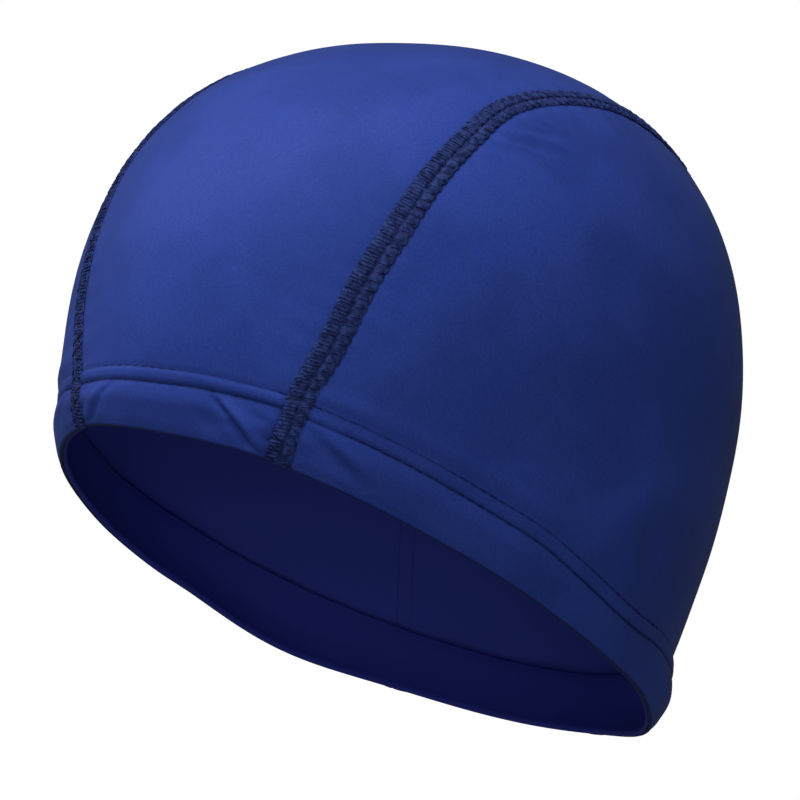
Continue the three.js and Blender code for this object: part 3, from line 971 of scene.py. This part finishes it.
@dataclass
class StitchTree:
    """Geometry Nodes that lay bent bars of thread at even steps along a path."""

    name: str = "stitches_along_path"
    bend_steps: int = 5
    sides: int = 7
    path_end: float = 1000.0

    INPUTS = {
        "Geometry": "Geometry", "Pitch": "Float", "Start": "Float", "Length": "Float", "Radius": "Float",
        "Arch": "Float", "Slant": "Float", "Slant swing": "Float", "Jitter": "Float", "Seed": "Int",
        "Thread": "Material",
    }

    def build(self) -> Tree:
        """Makes the tree. Its path carries the attributes out and across."""
        tree = bpy.data.node_groups.new(self.name, "GeometryNodeTree")
        for name, kind in self.INPUTS.items():
            tree.interface.new_socket(name, in_out="INPUT", socket_type=f"NodeSocket{kind}")
        tree.interface.new_socket("Geometry", in_out="OUTPUT", socket_type="NodeSocketGeometry")
        given = add_node(tree, "NodeGroupInput").outputs
        inputs = {2: 0.9, 3: 1.1, "Seed": given["Seed"]}
        size = add_node(tree, "FunctionNodeRandomValue", inputs, data_type="FLOAT").outputs[1]
        bars = add_node(tree, "GeometryNodeInstanceOnPoints", {
            "Points": self.points(tree, given),
            "Instance": self.bar(tree, given),
            "Rotation": self.turning(tree, given),
            "Scale": size,
        })
        real = add_node(tree, "GeometryNodeRealizeInstances", {"Geometry": bars.outputs["Instances"]})
        smooth = add_node(tree, "GeometryNodeSetShadeSmooth", {"Geometry": real.outputs["Geometry"]})
        inputs = {"Geometry": smooth.outputs["Geometry"], "Material": given["Thread"]}
        dressed = add_node(tree, "GeometryNodeSetMaterial", inputs)
        add_node(tree, "NodeGroupOutput", {"Geometry": dressed.outputs["Geometry"]})
        return tree

    def points(self, tree: Tree, given: bpy.types.NodeOutputs) -> Socket:
        """The path cut to even steps, each point a little off its place."""
        curve = add_node(tree, "GeometryNodeMeshToCurve", {"Mesh": given["Geometry"]})
        trim = add_node(tree, "GeometryNodeTrimCurve", {"Curve": curve.outputs["Curve"]}, mode="LENGTH")
        starts = [socket for socket in trim.inputs if socket.name == "Start" and socket.enabled]
        ends = [socket for socket in trim.inputs if socket.name == "End" and socket.enabled]
        tree.links.new(given["Start"], starts[-1])
        ends[-1].default_value = self.path_end
        inputs = {"Curve": trim.outputs["Curve"], "Length": given["Pitch"]}
        even = add_node(tree, "GeometryNodeResampleCurve", inputs, mode="LENGTH")
        inputs = {0: (-1, -1, -1), "Seed": given["Seed"]}
        shift = add_node(tree, "FunctionNodeRandomValue", inputs, data_type="FLOAT_VECTOR")
        inputs = {0: shift.outputs[0], "Scale": given["Jitter"]}
        scaled = add_node(tree, "ShaderNodeVectorMath", inputs, operation="SCALE")
        inputs = {"Geometry": even.outputs["Curve"], "Offset": scaled.outputs[0]}
        return add_node(tree, "GeometryNodeSetPosition", inputs).outputs["Geometry"]

    def bar(self, tree: Tree, given: bpy.types.NodeOutputs) -> Socket:
        """One bar of thread that arches from one hole to the next, along its own X."""
        back, half = (calculate(tree, "MULTIPLY", given["Length"], share) for share in (-0.5, 0.5))
        bend = {"Resolution": self.bend_steps}
        for name, place in (("Start", {"X": back}), ("Middle", {"Z": given["Arch"]}), ("End", {"X": half})):
            bend[name] = add_node(tree, "ShaderNodeCombineXYZ", place).outputs[0]
        line = add_node(tree, "GeometryNodeCurveQuadraticBezier", bend)
        inputs = {"Resolution": self.sides, "Radius": given["Radius"]}
        circle = add_node(tree, "GeometryNodeCurvePrimitiveCircle", inputs)
        return add_node(tree, "GeometryNodeCurveToMesh", {
            "Curve": line.outputs["Curve"], "Profile Curve": circle.outputs["Curve"], "Fill Caps": True,
        }).outputs["Mesh"]

    def turning(self, tree: Tree, given: bpy.types.NodeOutputs) -> Socket:
        """Stands each bar on the cloth, across the path, and slants it."""
        turned = None
        for name, axis, pivot in (("out", "Z", "AUTO"), ("across", "X", "Z")):
            options = {"data_type": "FLOAT_VECTOR"}
            vector = add_node(tree, "GeometryNodeInputNamedAttribute", {"Name": name}, **options)
            inputs = {"Vector": vector.outputs["Attribute"]}
            if turned:
                inputs["Rotation"] = turned
            options = {"axis": axis, "pivot_axis": pivot}
            align = add_node(tree, "FunctionNodeAlignRotationToVector", inputs, **options)
            turned = align.outputs["Rotation"]
        index = add_node(tree, "GeometryNodeInputIndex").outputs[0]
        parity = calculate(tree, "FLOORED_MODULO", index, 2.0)
        swing = calculate(tree, "MULTIPLY_ADD", parity, given["Slant swing"], given["Slant"])
        angle = add_node(tree, "ShaderNodeCombineXYZ", {"Z": swing}).outputs[0]
        euler = add_node(tree, "FunctionNodeEulerToRotation", {0: angle}).outputs[0]
        inputs = {"Rotation": turned, "Rotate By": euler}
        rotate = add_node(tree, "FunctionNodeRotateRotation", inputs, rotation_space="LOCAL")
        return rotate.outputs["Rotation"]


@dataclass(frozen=True)
class Bars:
    """A column of bars of thread, in millimetres and degrees. Every other bar's slant has the swing too."""

    across: float
    lift: float
    pitch: float
    start: float
    length: float
    radius: float
    arch: float
    slant: float
    swing: float
    jitter: float


@dataclass
class StitchRun:
    """One run of bars of thread along a path."""

    path: Array
    out: Array
    across: Array
    bars: Bars
    seed: int
    side: Side = Side.LEFT

    def build(self, tree: Tree, thread: Material) -> bpy.types.Mesh:
        """Makes the run as a plain mesh.

        Args:
            tree: the stitch tree.
            thread: the thread's material.

        Returns:
            The mesh of all the bars.
        """
        mesh = bpy.data.meshes.new("path")
        mesh.from_pydata((self.path * MM).tolist(), [(i, i + 1) for i in range(len(self.path) - 1)], [])
        for name, vectors in (("out", self.out), ("across", self.across)):
            layer = mesh.attributes.new(name, "FLOAT_VECTOR", "POINT")
            layer.data.foreach_set("vector", vectors.astype(np.float32).ravel())
        carrier = place_object("path", mesh)
        modifier = carrier.modifiers.new("stitches", "NODES")
        modifier.node_group = tree
        named = {item.name: item.identifier for item in tree.interface.items_tree if item.in_out == "INPUT"}
        for name in ("Pitch", "Start", "Length", "Radius", "Arch", "Jitter"):
            modifier[named[name]] = getattr(self.bars, name.lower()) * MM
        for name, angle in (("Slant", self.bars.slant), ("Slant swing", self.bars.swing)):
            modifier[named[name]] = float(np.radians(angle * self.side.value))
        modifier[named["Seed"]] = self.seed
        modifier[named["Thread"]] = thread
        bpy.context.view_layer.update()
        graph = bpy.context.evaluated_depsgraph_get()
        made = bpy.data.meshes.new_from_object(carrier.evaluated_get(graph), depsgraph=graph)
        carrier.modifiers.remove(modifier)
        bpy.data.objects.remove(carrier)
        bpy.data.meshes.remove(mesh)
        return made


def joined(name: str, meshes: list[bpy.types.Mesh], material: Material) -> Piece:
    """Joins meshes of one material into one object at the origin."""
    points, faces, offset = [], [], 0
    for mesh in meshes:
        flat = np.zeros(len(mesh.vertices) * 3, np.float32)
        mesh.vertices.foreach_get("co", flat)
        points.append(flat.reshape(-1, 3))
        faces += [[offset + i for i in polygon.vertices] for polygon in mesh.polygons]
        offset += len(mesh.vertices)
    whole = bpy.data.meshes.new(name)
    whole.from_pydata(np.concatenate(points).tolist(), [], faces)
    return place_cloth(name, whole, material)


@dataclass
class FlatSeam:
    """A flat overlocked seam: a padded strip over the panels' edges, with two columns of thread on it."""

    form: CapForm
    line: SeamLine
    shoulder: float = 0.62
    edge_lift: float = 0.04
    crest: float = 0.4
    groove_at: float = 0.12
    groove: float = 0.42
    loop_pitch: float = 2.9
    scallop: float = 0.22
    groove_sway: float = 0.1
    groove_width: float = 0.13
    wing: float = 0.07
    rim_height: float = 0.3
    columns: tuple[float, ...] = (
        -1.0, -0.93, -0.8, -0.63, -0.61, -0.45, -0.28, -0.12, 0.02, 0.12, 0.22, 0.36, 0.5, 0.61, 0.63, 0.8,
        0.93, 1.0,
    )
    curls: tuple[float, ...] = (82.0, 55.0, 28.0)
    inner_depth: float = 1.05
    seed: int = 5
    threads_on_it: tuple[Bars, ...] = (
        Bars(-1.35, 0.34, 0.95, 0.0, 3.2, 0.2, 0.3, 14, 0, 0.08),
        Bars(-1.35, 0.36, 2.75, 0.6, 3.3, 0.2, 0.42, -20, 0, 0.12),
        Bars(1.7, 0.3, 1.25, 0.4, 2.4, 0.19, 0.32, 26, -52, 0.09),
        Bars(-2.8, 0.1, 1.4, 0.3, 1.4, 0.17, 0.2, 72, -30, 0.12),
        Bars(2.75, 0.08, 1.4, 0.5, 1.4, 0.16, 0.2, 108, 30, 0.12),
    )

    def strip(self) -> ClothWall:
        """The padded strip, a T in its section that sinks between the panels."""
        form, line = self.form, self.line
        curl = np.radians(self.curls)
        ends = len(curl)
        fans = np.r_[np.full(ends, line.fans[0]), line.fans, np.full(ends, line.fans[-1])]
        walked = np.r_[np.zeros(ends), line.walked, np.full(ends, line.length)]
        curls = np.r_[curl, np.zeros(len(line.fans)), curl[::-1]]
        width = np.array(self.columns)
        phase = 2 * np.pi * walked[:, None] / self.loop_pitch
        reach = form.seam_half + self.scallop * np.sin(phase + np.where(width > 0, 1.6, 0.0))
        across = width[None, :] * reach
        level, turn = line.place(np.broadcast_to(fans[:, None], across.shape), across)
        level = np.where((curls > 0)[:, None], form.rim_level, np.maximum(level, form.rim_level))
        curl_grid = np.broadcast_to(curls[:, None], across.shape)
        rise = self.crest * (1 - np.abs(width) ** 4)[None, :] * (1 + 0.16 * np.sin(phase + 2.2 * width))
        middle = self.groove_at + self.groove_sway * np.sin(phase)
        rise = rise - self.groove * bell(width[None, :] - middle, self.groove_width)
        grown = smooth_step(level, form.rim_level, form.rim_level + 0.2)
        rise = rise * (self.rim_height + (1 - self.rim_height) * grown)
        depth = -(self.edge_lift + rise)
        under = np.where(np.abs(width) > self.shoulder, self.wing - self.edge_lift, self.inner_depth)
        outer = form.cloth_point(level, turn, depth, curl_grid)
        inner = form.cloth_point(level, turn, np.broadcast_to(under[None, :], across.shape), curl_grid)
        pattern = np.stack([across, np.broadcast_to(walked[:, None], across.shape)], -1)
        if line.side is Side.RIGHT:
            outer, inner, pattern = outer[:, ::-1], inner[:, ::-1], pattern[:, ::-1]
        return ClothWall(f"seam_{line.side.word}_strip", outer, inner, pattern)

    def path(self, across: float, lift: float) -> tuple[Array, Array, Array]:
        """A path along the seam.

        Args:
            across: its distance from the middle, away from the centre panel.
            lift: its height over the cloth.

        Returns:
            Its points, its directions out of the cloth and its directions across the seam.
        """
        fans = self.line.fans
        level, turn = self.line.place(fans, across)
        points = self.form.cloth_point(level, turn, -lift)
        beside = self.form.cloth_point(*self.line.place(fans, across + 0.5), -lift)
        return points, self.form.head_normal(level, turn), unit(beside - points)

    def threads(self, tree: Tree, thread: Material) -> Piece:
        """The bars of thread of both columns and the loops along both edges."""
        meshes = []
        for i, bars in enumerate(self.threads_on_it):
            path = self.path(bars.across * self.form.seam_lean, bars.lift)
            meshes.append(StitchRun(*path, bars, self.seed + i, self.line.side).build(tree, thread))
        return joined(f"seam_{self.line.side.word}_threads", meshes, thread)


@dataclass
class HemStitches:
    """The two rows of stitches that hold the hem's tuck."""

    form: CapForm
    relief: ClothRelief
    bars: Bars = Bars(0.0, -0.24, 3.1, 0.0, 2.1, 0.15, 0.2, 90.0, 0.0, 0.06)
    steps: int = 720
    seed: int = 21

    def row(
        self, below: float, tree: Tree, thread: Material, seed: int
    ) -> bpy.types.Mesh:
        """One row, a distance below the upper row."""
        turn = np.linspace(0, 2 * np.pi, self.steps + 1)
        height = self.relief.upper_row(turn) - below
        per_level = self.form.height_over_hem(np.ones(len(turn)), turn)
        level = np.where(height < 0, height / self.form.hem_width, height / per_level)
        points = self.form.cloth_point(level, turn, -self.bars.lift)
        out = self.form.head_normal(level, turn)
        forwards = unit(np.roll(points, -1, 0) - np.roll(points, 1, 0))
        forwards[0] = forwards[-1] = unit(points[1] - points[-2])
        across = unit(np.cross(out, forwards))
        return StitchRun(points, out, across, self.bars, seed).build(tree, thread)

    def build(self, tree: Tree, thread: Material) -> Piece:
        """Both rows as one piece."""
        drops = (0.0, self.relief.row_gap)
        rows = [self.row(below, tree, thread, self.seed + i) for i, below in enumerate(drops)]
        return joined("hem_stitches", rows, thread)


@dataclass(frozen=True)
class Lamp:
    """A soft square light that faces the cap, in degrees, metres and watts."""

    name: str
    azimuth: float
    elevation: float
    away: float
    size: float
    power: float


@dataclass
class Studio:
    """The pale floor, the soft lights and the camera."""

    azimuth: float = 38.45
    elevation: float = 11.98
    distance: float = 1.0
    lens: float = 169.2
    shift: tuple[float, float] = (0.0316, -0.0164)
    floor_depth: float = 0.42
    floor_size: float = 30.0
    world_strength: float = 0.17
    lamps: tuple[Lamp, ...] = (
        Lamp("key", -38, 72, 1.5, 1.4, 29.5),
        Lamp("side", -75, 30, 1.6, 1.0, 5.0),
        Lamp("fill", 38.45, 20, 1.5, 1.2, 4.0),
        Lamp("bounce", 38.45, -46, 0.9, 0.9, 4.2),
    )

    def direction(self, azimuth: float, elevation: float) -> Vector:
        """The direction from the cap at an azimuth and an elevation."""
        a, e = np.radians(azimuth), np.radians(elevation)
        return Vector((np.sin(a) * np.cos(e), -np.cos(a) * np.cos(e), np.sin(e)))

    def aim(self, thing: Piece, azimuth: float, elevation: float, away: float) -> None:
        """Places a camera or a lamp and turns it to the cap."""
        thing.location = self.direction(azimuth, elevation) * away
        thing.rotation_euler = (-thing.location).to_track_quat("-Z", "Y").to_euler()

    def camera(self) -> None:
        """Places the camera where the photograph was taken from."""
        data = bpy.data.cameras.new("camera")
        data.lens = self.lens
        data.shift_x, data.shift_y = self.shift
        data.clip_start, data.clip_end = 0.01, 100
        camera = place_object("camera", data)
        self.aim(camera, self.azimuth, self.elevation, self.distance)
        bpy.context.scene.camera = camera

    def light(self, lamp: Lamp) -> None:
        """Makes a lamp that the camera doesn't see."""
        data = bpy.data.lights.new(lamp.name, "AREA")
        data.size, data.energy = lamp.size, lamp.power
        made = place_object(lamp.name, data)
        self.aim(made, lamp.azimuth, lamp.elevation, lamp.away)
        made.visible_camera = False

    def pale_shader(self, tree: Tree, output: Socket, lit: float) -> None:
        """White where the camera sees it, and a dimmer light on the cap."""
        seen = add_node(tree, "ShaderNodeLightPath").outputs["Is Camera Ray"]
        strength = add_node(tree, "ShaderNodeMapRange", {"Value": seen, "To Min": lit, "To Max": 1.0})
        tree.links.new(strength.outputs["Result"], output)

    def surroundings(self) -> None:
        """The white world and the pale floor under the cap."""
        world = bpy.data.worlds.new("studio")
        world.use_nodes = True
        background = world.node_tree.nodes["Background"]
        background.inputs["Color"].default_value = (1, 1, 1, 1)
        self.pale_shader(world.node_tree, background.inputs["Strength"], self.world_strength)
        bpy.context.scene.world = world
        half = self.floor_size / 2
        mesh = bpy.data.meshes.new("floor")
        corners = [(-half, -half), (half, -half), (half, half), (-half, half)]
        mesh.from_pydata([(x, y, -self.floor_depth) for x, y in corners], [], [(0, 1, 2, 3)])
        floor = place_object("floor", mesh)
        material = bpy.data.materials.new("pale_floor")
        material.use_nodes = True
        tree = material.node_tree
        glow = add_node(tree, "ShaderNodeEmission")
        self.pale_shader(tree, glow.inputs["Strength"], self.world_strength)
        tree.links.new(glow.outputs[0], tree.nodes["Material Output"].inputs["Surface"])
        mesh.materials.append(material)

    def build(self) -> None:
        """Makes the whole studio."""
        self.camera()
        self.surroundings()
        for lamp in self.lamps:
            self.light(lamp)
        bpy.context.scene.view_settings.view_transform = "Standard"


@dataclass
class SwimCap:
    """The whole cap: its panels, hem band, seams and stitches, and what the frame is told of them."""

    form: CapForm = field(default_factory=CapForm)
    # The lining colour of the panel knit and seam thread is set lighter than their faces: partly the cloth's
    # inner side, partly painted light that brightens the shaded inside of the cap.
    panel_knit: Knit = Knit(
        "panel_knit", (0.027, 0.055, 0.30), (0.023, 0.047, 0.26), (0.042, 0.060, 0.36), (0.2, 0.45, 1.0),
        # edge_shade paints shade towards grazing angles.
        roughness=0.6, bump=0.25, sheen=0.03, grain=0.1, edge_shade=0.35,
        painted_shades=(
            # The over_row entries paint shade along the grooves of the upper and lower stitch rows; the
            # seam_gap entry paints a thin shadow along the seams' edges.
            ("over_row", 0.0, 0.3, 0.28), ("over_row", -3.7, 0.42, 0.5), ("seam_gap", 0.0, 0.5, 0.35),
            # The fold entry paints shade round the rim's fold.
            ("fold", 1.0, 0.6, 0.8),
        ),
    )
    hem_knit: Knit = Knit(
        "hem_knit", (0.020, 0.030, 0.24), (0.017, 0.027, 0.22), (0.022, 0.032, 0.25), (0.3, 0.4, 1.0),
        roughness=0.7, bump=0.2, sheen=0.02, grain=0.08,
    )
    seam_thread: Thread = Thread(
        "seam_thread", (0.028, 0.046, 0.17), (0.013, 0.021, 0.09), (0.042, 0.06, 0.36), (0.3, 0.45, 1.0),
        roughness=0.75, bump=0.4,
    )
    hem_thread: Thread = Thread(
        "hem_thread", (0.012, 0.019, 0.10), (0.008, 0.013, 0.075), (0.042, 0.06, 0.36), (0.3, 0.45, 1.0),
        roughness=0.75, bump=0.4,
    )

    def ride(self, piece: Piece, slot: str, *nodes: str) -> Piece:
        """Puts a piece on the cap's one body, in place of its nodes."""
        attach(piece, "root")
        if nodes:
            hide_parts(*nodes)
        return piece

    def build(self) -> None:
        """Builds every piece and tells the frame of it."""
        lines = {side: SeamLine(self.form, side) for side in Side}
        relief = ClothRelief(self.form, lines)
        panels = Panels(self.form, relief)
        knit, inner = self.panel_knit.make(), self.hem_knit.make()
        thread, fine_thread = self.seam_thread.make(), self.hem_thread.make()
        tree = StitchTree().build()

        stitches = self.ride(HemStitches(self.form, relief).build(tree, fine_thread), "seam_thread")
        centre = self.ride(panels.centre().build(knit), "panel_knit", "center_panel")
        for side in Side:
            cloth = self.ride(panels.side(side).build(knit), "panel_knit", f"side_panel_{side.word}")
            seam = FlatSeam(self.form, lines[side])
            self.ride(seam.strip().build(thread), "seam_thread", f"seam_{side.word}")
            self.ride(seam.threads(tree, thread), "seam_thread")
        band = self.ride(HemBand(self.form).wall().build(inner), "hem_knit", "hem_band")


def write_sizes() -> None:
    """Updates the view layer."""
    bpy.context.view_layer.update()


def main() -> None:
    """Builds the studio and the cap."""
    Studio().build()
    SwimCap().build()
    write_sizes()


if __name__ == "__main__":
    main()
